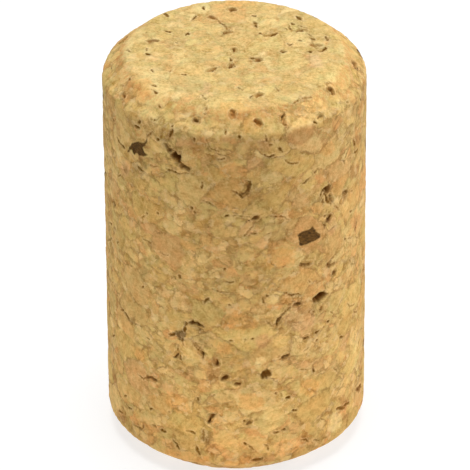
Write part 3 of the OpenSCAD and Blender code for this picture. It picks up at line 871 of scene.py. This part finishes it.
def nearest_on_lines(points, starts, ends):
    """Each point's nearest place on some straight lines, and how far that is."""
    nearest, away = np.zeros(points.shape), np.full(len(points), np.inf)
    for a, b in zip(starts, ends):
        edge = b - a
        t = np.clip((points - a) @ edge / (edge @ edge), 0, 1)
        place = a + t[:, None] * edge
        d = np.linalg.norm(points - place, axis=1)
        closer = d < away
        nearest[closer], away[closer] = place[closer], d[closer]
    return nearest, away


def corner_distance(points, corners):
    """Signed distance from each point to a polygon's edge, negative inside."""
    after = np.roll(corners, -1, axis=0)
    inside = np.zeros(len(points), bool)
    for a, b in zip(corners, after):
        if a[1] != b[1]:
            at = a[0] + (points[:, 1] - a[1]) * (b[0] - a[0]) / (b[1] - a[1])
            inside ^= ((a[1] > points[:, 1]) != (b[1] > points[:, 1])) & (points[:, 0] < at)
    return nearest_on_lines(points, corners, after)[1] * np.where(inside, -1, 1)


def patch_fields(angle, co):
    """For every place: signed distance to the nearest charted bark, to the nearest other charted
    granule, and that granule's tone."""
    bark = np.full(len(co), FAR)
    patch = np.full(len(co), FAR)
    tone = np.tile(TONES["cream"], (len(co), 1))
    unrolled = np.stack([angle * RADIUS, co[:, 2]], 1)
    charts = (
        # chart, the skin laid flat in the same way, millimetres to each of its units, where it holds
        (SIDE_PATCHES, unrolled, (math.radians(RADIUS), 1), co[:, 2] < LENGTH - SIDE_CHART_STOP),
        (TOP_PATCHES, co[:, :2], (1, 1), co[:, 2] > LENGTH - TOP_CHART_REACH),
    )
    for chart, flat, scale, here in charts:
        for name, corners in chart:
            d = np.where(here, corner_distance(flat, np.array(corners, float) * scale), FAR)
            if name == "bark":
                bark = np.minimum(bark, d)
            else:
                tone[d < patch] = TONES[name]
                patch = np.minimum(patch, d)
    return bark, patch, tone


class Body:
    """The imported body: how deep its voids are under the ideal skin, and where they lie."""

    def __init__(self):
        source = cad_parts["stopper"]
        graph = bmesh.new()
        graph.from_mesh(source.data)
        graph.transform(Matrix.Scale(1 / MM, 4) @ source.matrix_world)
        self.tree = BVHTree.FromBMesh(graph)
        co = np.array([v.co[:] for v in graph.verts])
        graph.free()
        reach = np.hypot(co[:, 0], co[:, 1])
        section, down = nearest_on_lines(np.stack([reach, co[:, 2]], 1), OUTLINE[:-1], OUTLINE[1:])
        spread = co[:, :2] * (section[:, :1] / np.maximum(reach, 0.01)[:, None])
        floors = np.column_stack([spread, section[:, 1]])[down > DENT]
        self.floors = KDTree(len(floors))
        for k, place in enumerate(floors):
            self.floors.insert(place, k)
        self.floors.balance()

    def nearest_floor(self, place):
        """From a place on the skin to the nearest corner of a void's floor, as seen from outside."""
        return self.floors.find(place)[2]

    def depth(self, place, normal):
        """How deep the voids are under a place on the skin, with their rims bent and roughened."""
        start = place
        for scale, far in VOID_STRAYS:
            start = start + noise.noise_vector(place * scale) * far
        hit, _, _, away = self.tree.ray_cast(start + normal * VOID_START, -normal)
        deep = away - VOID_START if hit is not None else 0.0
        return deep if deep > VOID_LEAST else 0.0


def skin_numbers(graph, along):
    """Angle and distance along the outline for every corner of the skin."""
    co = np.array([v.co[:] for v in graph.verts])
    return np.arctan2(co[:, 0], -co[:, 1]), np.array([v[along] for v in graph.verts])


def cut_finer(graph, along, body, crevices, reach, with_bark):
    """Cuts the faces within reach of a mark in half each way, and sets their corners on the skin."""
    graph.verts.ensure_lookup_table()
    angle, s = skin_numbers(graph, along)
    bark, _, _ = patch_fields(angle, skin_points(angle, s)[0])
    near = [
        crevices.distance(v.co) < reach
        or body.nearest_floor(v.co) - FLOOR_REACH < reach
        or with_bark and abs(b) < reach
        for v, b in zip(graph.verts, bark)
    ]
    chosen = [f for f in graph.faces if any(near[v.index] for v in f.verts)]
    edges = list({e for f in chosen for e in f.edges})
    bmesh.ops.subdivide_edges(graph, edges=edges, cuts=1, use_grid_fill=True)
    graph.verts.index_update()
    angle, s = skin_numbers(graph, along)
    for v, place in zip(graph.verts, skin_points(angle, s)[0]):
        v.co = place


def make_skin(body, crevices):
    """The ideal skin, cut finer by the voids and the charted marks, and holding their fields."""
    places, faces = box_grid(CAP_COLUMNS, SIDE_ROWS)
    mesh = bpy.data.meshes.new("pressed_cork")
    mesh.from_pydata(skin_points(places[:, 0], places[:, 1])[0].tolist(), [], faces)
    graph = bmesh.new()
    graph.from_mesh(mesh)
    along = graph.verts.layers.float.new("along")
    for v, (_, s) in zip(graph.verts, places):
        v[along] = s
    cut_finer(graph, along, body, crevices, NEAR_MARK, with_bark=True)
    cut_finer(graph, along, body, crevices, BY_MARK, with_bark=False)
    bmesh.ops.triangulate(graph, faces=[f for f in graph.faces if len(f.verts) > 4])
    graph.verts.index_update()
    angle, s = skin_numbers(graph, along)
    co, normal = skin_points(angle, s)
    bark, patch, tone = patch_fields(angle, co)
    floor = np.array([body.nearest_floor(v.co) for v in graph.verts])
    depth = [
        body.depth(v.co, Vector(n)) if d < VOID_NEAR else 0.0
        for v, n, d in zip(graph.verts, normal, floor)
    ]
    turn = np.degrees(np.abs(angle))
    charted = np.clip((CHARTED_TURN - turn) / CHARTED_FADE, 0, 1) * (s > END_RUN)
    fields = {
        "void": depth,
        "rim": np.minimum(MARK_REACH, floor),
        "crevice": [min(MARK_REACH, crevices.distance(v.co)) for v in graph.verts],
        "bark": bark,
        "patch": patch,
        "charted": np.maximum(charted, co[:, 2] > LENGTH - CHARTED_TOP),
    }
    graph.to_mesh(mesh)
    graph.free()
    for name, values in fields.items():
        attribute = mesh.attributes.new(name, "FLOAT", "POINT")
        attribute.data.foreach_set("value", np.asarray(values, np.float32))
    tones = mesh.attributes.new("tone", "FLOAT_COLOR", "POINT")
    tones.data.foreach_set("color", tone.astype(np.float32).ravel())
    unwrap(mesh, angle, s)
    mesh.transform(Matrix.Scale(MM, 4))
    mesh.polygons.foreach_set("use_smooth", np.ones(len(mesh.polygons), bool))
    piece = bpy.data.objects.new("pressed_cork", mesh)
    bpy.context.scene.collection.objects.link(piece)
    return piece


def unwrap(mesh, angle, s):
    """The side as one strip across the square, with the two flats as discs beside each other above."""
    strip_wide, strip_low, strip_high = 0.99, 0.005, 0.56
    disc, disc_middle = 0.205, 0.785
    corner = np.empty(len(mesh.loops), int)
    mesh.loops.foreach_get("vertex_index", corner)
    starts = np.empty(len(mesh.polygons), int)
    counts = np.empty(len(mesh.polygons), int)
    mesh.polygons.foreach_get("loop_start", starts)
    mesh.polygons.foreach_get("loop_total", counts)
    face = np.repeat(np.arange(len(counts)), counts)
    a, t = angle[corner], s[corner]
    middle = (np.bincount(face, t) / counts)[face]
    first = a[starts][face]
    a = first + (a - first + math.pi) % (2 * math.pi) - math.pi
    turn = (np.bincount(face, a) / counts)[face]
    a = a - 2 * math.pi * np.floor((turn + math.pi) / (2 * math.pi))
    u = 0.5 + a / (2 * math.pi) * strip_wide
    v = strip_low + (t - END_RUN) / SIDE_RUN * strip_high
    ends = (
        (middle < END_RUN, 0.25, t / END_RUN),
        (middle > ALONG[-1] - END_RUN, 0.75, (ALONG[-1] - t) / END_RUN),
    )
    for end, centre, out in ends:
        u = np.where(end, centre + disc * out * np.sin(a), u)
        v = np.where(end, disc_middle - disc * out * np.cos(a), v)
    layer = mesh.uv_layers.new(name="OFBake")
    layer.data.foreach_set("uv", np.stack([u, v], 1).astype(np.float32).ravel())


def press(piece, material):
    """Sinks the voids and crevices and raises the granules, along the skin's normals, with a tree of
    nodes."""
    tree = bpy.data.node_groups.new("pressed granules", "GeometryNodeTree")
    sockets = (
        ("Geometry", "Geometry", None),
        ("Granule relief", "Float", 0.035),
        ("Seam depth", "Float", 0.03),
        ("Wear", "Float", 0.05),
        ("Skin ripple", "Float", 0.05),
        ("Crevice depth", "Float", 0.12),
        ("Cork", "Material", material),
    )
    keys = {}
    for name, kind, _ in sockets:
        socket = tree.interface.new_socket(name, in_out="INPUT", socket_type="NodeSocket" + kind)
        keys[name] = socket.identifier
    tree.interface.new_socket("Geometry", in_out="OUTPUT", socket_type="NodeSocketGeometry")
    g = Graph(tree)
    group = g.add("NodeGroupInput", {}, {})
    place = g.add("GeometryNodeInputPosition", {}, {})["Position"] * (1 / MM) + GRAIN_SHIFT
    number, edge = granules(g, place)
    void, crevice = (
        g.add("GeometryNodeInputNamedAttribute", {"data_type": "FLOAT"}, {"Name": name})["Attribute"]
        for name in ("void", "crevice")
    )
    dome = edge.rises(0.0, DOME_WIDTH) - DOME_LEVEL + (number.parts()[1] - 0.5) * DOME_SPREAD
    wear = g.noise(place, "wear")["Fac"] - 0.5
    ripple = g.noise(place, "ripple")["Fac"] - 0.5
    height = dome * group["Granule relief"] + wear * group["Wear"] + ripple * group["Skin ripple"]
    height = height - edge.falls(0.0, SEAM_WIDTH) * group["Seam depth"]
    height = height - crevice.falls(*GROOVE_EDGE) * group["Crevice depth"] - void
    offset = g.add("GeometryNodeInputNormal", {}, {})["Normal"] * height * MM
    moved = g.add("GeometryNodeSetPosition", {}, {"Geometry": group["Geometry"], "Offset": offset})
    real = g.add("GeometryNodeRealizeInstances", {}, {"Geometry": moved["Geometry"]})
    values = {"Geometry": real["Geometry"], "Material": group["Cork"]}
    done = g.add("GeometryNodeSetMaterial", {}, values)
    g.add("NodeGroupOutput", {}, {0: done["Geometry"]})
    modifier = piece.modifiers.new("press", "NODES")
    modifier.node_group = tree
    for name, _, value in sockets[1:]:
        modifier[keys[name]] = value
    depsgraph = bpy.context.evaluated_depsgraph_get()
    pressed = bpy.data.meshes.new_from_object(
        piece.evaluated_get(depsgraph), preserve_all_data_layers=True, depsgraph=depsgraph
    )
    piece.modifiers.clear()
    piece.data = pressed
    bpy.data.node_groups.remove(tree)


# ---------------------------------------------------------------- materials


def new_material(name, roughness):
    material = bpy.data.materials.new(name)
    material.use_nodes = True
    shader = material.node_tree.nodes["Principled BSDF"]
    shader.inputs["Roughness"].default_value = roughness
    return material, Graph(material.node_tree), shader


class CorkSkin:
    """What the finishes share at a place on the skin: its granule, its patterns, and how near it is to
    the ends and to the charted marks. Distances are in millimetres."""

    def __init__(self, g):
        self.g = g
        self.place = g.add("ShaderNodeTexCoord", {}, {})["Object"] * (1 / MM) + GRAIN_SHIFT
        self.rise = self.place.parts()[2] - GRAIN_SHIFT[2]
        self.from_end = LENGTH / 2 - (self.rise - LENGTH / 2).size()
        self.pressed = self.from_end.rises(*SKIN_DEEP)
        self.number, self.edge = granules(g, self.place)
        self.pick, self.turn, self.light = self.number.parts()
        fray = g.noise(self.place, "fray")
        self.ragged, self.tatter = fray["Fac"] - 0.5, fray["Color"] - 0.5
        self.grain, self.speck, self.hue, self.wisp = (
            self.pattern(name) - 0.5 for name in ("grain", "speck", "hue", "wisps")
        )
        self.void, self.rim, self.crevice, self.bark, patch, self.charted = (
            g.attribute(name)["Fac"]
            for name in ("void", "rim", "crevice", "bark", "patch", "charted")
        )
        tone = g.attribute("tone")
        self.tone = tone["Color"]
        self.in_patch = self.within(patch, "patch") * tone["Alpha"]
        self.fleck = self.cells(FLECKS_OFF, FLECK_FRAY, FLECK, FLECK_BLUR)[0] - 0.5
        self.crumb = self.cells(CRUMBS_OFF, CRUMB_FRAY, CRUMB, CRUMB_BLUR)
        loose = self.pressed.lifted(END_LOOSE)
        self.crumbly = self.within(self.edge, "crumbs") * loose
        self.streak = self.granule_streak()
        self.pit = self.crumb[1].rises(*PIT_PICK) * self.spots("pits") * self.crumbly * PIT_SHOWS
        self.seam = self.within(self.edge, "seams") * self.spots("seams") * SEAM_SHOWS * loose

    def pattern(self, name):
        """Smooth noise from 0 to 1."""
        return self.g.noise(self.place, name)["Fac"]

    def spots(self, name):
        """The places where a pattern is strong."""
        return self.pattern(name).rises(*SPOTS[name])

    def within(self, distance, name):
        """1 inside a mark and 0 outside it, by the distance to its edge and across a ragged edge."""
        rag, low, high = EDGES[name]
        return (distance + self.ragged * rag).falls(low, high)

    def cells(self, off, fray, size, blur):
        """The three parts of the lottery number of some small cells with frayed edges."""
        return self.g.soft_cells(self.place + off + self.tatter * fray, size, blur).parts()

    def granule_streak(self):
        """The streaks of old bark rings in the granules, which lie another way in each."""
        spin = {"Vector": self.place, "Axis": self.number - 0.5, "Angle": self.turn * STREAK_TURN}
        turned = self.g.add("ShaderNodeVectorRotate", {"rotation_type": "AXIS_ANGLE"}, spin)["Vector"]
        streak = self.g.noise(turned * STREAK_SHAPE, "streaks")["Fac"] - 0.5
        return streak + (self.light - 0.5) * GRANULE_SHOWS


def granule_tones(c):
    """Each granule's own tone, and over them the tones of the charted ones."""
    colour = c.g.mix(PLAIN, c.g.ramp(c.pick, GRANULE_TONES), c.pressed.lifted(END_TONES))
    colour = c.g.mix(colour, c.tone, c.in_patch)
    return colour * (c.hue * HUE_SWING + HUE_MIDDLE)


def shade(c, colour):
    """The light and dark of the grain, specks, flecks, streaks and crumbs."""
    mottle = c.grain * (c.pressed * GRAIN_MORE + GRAIN_SHOWS)
    mottle = mottle + c.speck * (SPECK_SHOWS - c.pressed * SPECK_LESS)
    mottle = mottle + c.fleck * FLECK_SHOWS + c.streak * STREAK_SHOWS
    mottle = mottle + (c.crumb[0] - 0.5) * (CRUMB_SHOWS + c.crumbly * CRUMB_MORE)
    return colour * (1 + mottle.lowest(0.0) * SHADE_TINT) * (1 + mottle.highest(0.0) * LIGHT_TINT)


def crumble(c, colour):
    """Pale chips and brown pits among the crumbs, and brown seams between the granules."""
    chips = c.crumb[2].rises(*CHIP_PICK) * (CHIP_SHOWS + c.crumbly * CHIP_MORE)
    return c.g.mix(c.g.mix(colour, PALE, chips), BROWN, c.pit.highest(c.seam))


def scorch(c, colour):
    """A patchy reddish band a little way in from each end."""
    band = c.from_end.rises(*SCORCH_IN) * c.from_end.falls(*SCORCH_OUT)
    return c.g.mix(colour, RUST, band * (c.ragged + c.grain).rises(*SCORCH_SPOTS) * SCORCH_SHOWS)


def edge_marks(c, colour):
    """Brown beside the voids and crevices, and on it a broken pale band, a painted highlight on their
    rims.
    """
    beside = c.crevice.lowest(c.rim - RIM_WIDTH)
    colour = c.g.mix(colour, BROWN, c.within(beside, "stain") * BROWN_RIM_SHOWS)
    highlight = beside.rises(*HIGHLIGHT_IN) * beside.falls(*HIGHLIGHT_OUT) * c.speck.rises(*HIGHLIGHT_SPOTS)
    return c.g.mix(colour, PALE, highlight * HIGHLIGHT_SHOWS)


def lay_bark(c, colour):
    """The charted chips of dark bark, and round the back a few granules of it."""
    bent = c.place * BARK_SHAPE + c.place.parts()[2] * BARK_LEAN
    rings = c.g.noise(bent, "bark rings")["Fac"] + c.speck * BARK_SPECKLE
    tone = c.g.mix(BARK_DARK, BARK_LIGHT, rings.rises(*BARK_SPOTS, "LINEAR"))
    wild = c.light.rises(*WILD_PICK) * c.edge.rises(*WILD_EDGE) * (1 - c.charted)
    return c.g.mix(colour, tone, c.within(c.bark, "bark").highest(wild))


def shade_cracks(c, colour):
    """Painted shade in the charted crevices, and round the back in gaps between the granules: darker on
    the ends, where the light falls straight in.
    """
    gap = c.within(c.edge, "gaps") * c.spots("gaps") * (1 - c.charted)
    dark = (c.crevice + c.wisp * CRACK_FRAY).falls(*CRACK_EDGE).highest(gap)
    broken = c.spots("breaks").lifted(UNBROKEN)
    return c.g.mix(colour, c.g.mix(DEEP_CREVICE_SHADE, SOFT_CREVICE_SHADE, c.pressed.lifted(END_SOFT_SHADE)), dark * broken)


def shade_hollows(c, colour):
    """Painted shade in the voids: browner insides, and deep brown on their floors."""
    inside = c.g.mix(VOID_SHADE, VOID_FLOOR_SHADE, c.void.rises(*FLOOR_DEPTH))
    inside = c.g.mix(inside, c.tone, c.in_patch)
    return c.g.mix(colour, inside, (c.void + c.wisp * MOUTH_FRAY).rises(*MOUTH_EDGE, "LINEAR"))


def tone_and_shade_side(c, colour):
    """The pressed side, darker and more orange than the cut ends: partly its own tone, partly painted
    shade. A little warmer low down, and painted shade high up.
    """
    side = (c.from_end + c.ragged * SIDE_RAG).rises(*SIDE_FROM)
    colour = colour * c.g.mix(WHITE, SIDE_TONE_AND_SHADE, c.pressed * 0.5 + side * 0.5)
    # painted shade high up, below the shoulder
    upper = 1 - side * c.rise.rises(*UPPER_FROM) * UPPER_SHADE
    return colour * upper * (1 + c.rise.falls(*LOWER_TO) * LOWER_WARMTH)


def fine_relief(c):
    """The height of what is too small for the mesh."""
    height = c.grain * GRAIN_RISE + c.speck * SPECK_RISE + c.streak * STREAK_RISE
    height = height + c.edge.rises(*GRANULE_EDGE) * GRANULE_RISE + c.crumb[0] * c.crumbly * CRUMB_RISE
    return height - c.pit * PIT_FALL - c.seam * SEAM_FALL


def cork_material():
    material, g, shader = new_material("pressed cork", 0.8)
    shader.inputs["Specular IOR Level"].default_value = 0.1
    c = CorkSkin(g)
    colour = granule_tones(c)
    for finish in (shade, crumble, scorch, edge_marks, lay_bark, shade_cracks, shade_hollows, tone_and_shade_side):
        colour = finish(c, colour)
    g.tree.links.new(colour.socket, shader.inputs["Base Color"])
    bump = g.add("ShaderNodeBump", {}, {"Height": fine_relief(c), "Distance": MM, "Strength": 1.0})
    g.tree.links.new(bump["Normal"].socket, shader.inputs["Normal"])
    return material


def glowing_material(name, colour, glow):
    """A matt material that gives off a plain white light of its own."""
    material, _, shader = new_material(name, 0.9)
    shader.inputs["Base Color"].default_value = (*colour, 1)
    shader.inputs["Emission Color"].default_value = (*WHITE, 1)
    shader.inputs["Emission Strength"].default_value = glow
    return material


# ---------------------------------------------------------------- stage


def stage_piece(name, corners, faces, material):
    """A plain object of the stage, from its corners and faces."""
    mesh = bpy.data.meshes.new(name)
    mesh.from_pydata(corners, [], faces)
    mesh.materials.append(material)
    piece = bpy.data.objects.new(name, mesh)
    bpy.context.scene.collection.objects.link(piece)
    return piece


def add_floor():
    reach = 4.0
    corners = [(-reach, -reach, 0), (reach, -reach, 0), (reach, reach, 0), (-reach, reach, 0)]
    material = glowing_material("pale floor", FLOOR_GREY, FLOOR_GLOW)
    floor = stage_piece("floor", corners, [(0, 1, 2, 3)], material)


def add_backdrop():
    """A pale wall far off all round, seen but casting no light."""
    count, reach, top = 48, 1.5, 1.0
    turns = [2 * math.pi * k / count for k in range(count)]
    corners = [(reach * math.cos(a), reach * math.sin(a), z) for z in (0.0, top) for a in turns]
    faces = [((k + 1) % count, k, k + count, (k + 1) % count + count) for k in range(count)]
    material = glowing_material("pale backdrop", BLACK, BACKDROP_GLOW)
    backdrop = stage_piece("backdrop", corners, faces, material)
    backdrop.visible_diffuse = backdrop.visible_glossy = backdrop.visible_shadow = False


def looking(place, way):
    """A lamp's or a camera's stand at a place, turned to look the given way."""
    return Matrix.Translation(place) @ way.to_track_quat("-Z", "Y").to_matrix().to_4x4()


def add_lamp(name, place, aim, size, watts, colour=WHITE):
    """A round lamp that lights the stopper but isn't seen."""
    light = bpy.data.lights.new(name, "AREA")
    light.shape = "DISK"
    light.size = size
    light.energy = watts
    light.color = colour
    lamp = bpy.data.objects.new(name, light)
    bpy.context.scene.collection.objects.link(lamp)
    lamp.matrix_world = looking(Vector(place), Vector(aim) - Vector(place))
    lamp.visible_camera = False


def add_lights():
    """A soft box well above, a weak one to the left and a stronger one to the right, and a little
    light from three places on the table itself."""
    for name, place, size, watts, colour in SOFT_BOXES:
        add_lamp(name, place, LAMP_AIM, size, watts, colour)
    for name, x, y, watts in TABLE_LAMPS:
        add_lamp("table " + name, (x, y, TABLE_LAMP_RISE), (x, y, 0.1), TABLE_LAMP_SIZE, watts)


def add_world():
    world = bpy.data.worlds.new("studio")
    bpy.context.scene.world = world
    world.use_nodes = True
    background = world.node_tree.nodes["Background"]
    background.inputs["Color"].default_value = (*WHITE, 1)
    background.inputs["Strength"].default_value = ROOM_GLOW


def add_camera():
    """A long lens, looking down on the stopper from the front."""
    camera = bpy.data.objects.new("camera", bpy.data.cameras.new("camera"))
    bpy.context.scene.collection.objects.link(camera)
    middle = Vector((0, 0, LENGTH * MM / 2))
    away = Vector((0, -math.cos(CAMERA_RISE), math.sin(CAMERA_RISE)))
    stand = looking(middle + away * CAMERA_AWAY, -away)
    camera.matrix_world = stand @ Matrix.Rotation(CAMERA_ROLL, 4, "Z")
    camera.data.lens = CAMERA_LENS
    camera.data.sensor_width = CAMERA_SENSOR
    camera.data.shift_x = CAMERA_SHIFT
    camera.data.clip_start = CAMERA_CLIP
    bpy.context.scene.camera = camera


skin = make_skin(Body(), Crevices())
press(skin, cork_material())
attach(skin, "root")
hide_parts("stopper")
add_floor()
add_backdrop()
add_lights()
add_world()
add_camera()
bpy.context.scene.view_settings.view_transform = "Standard"
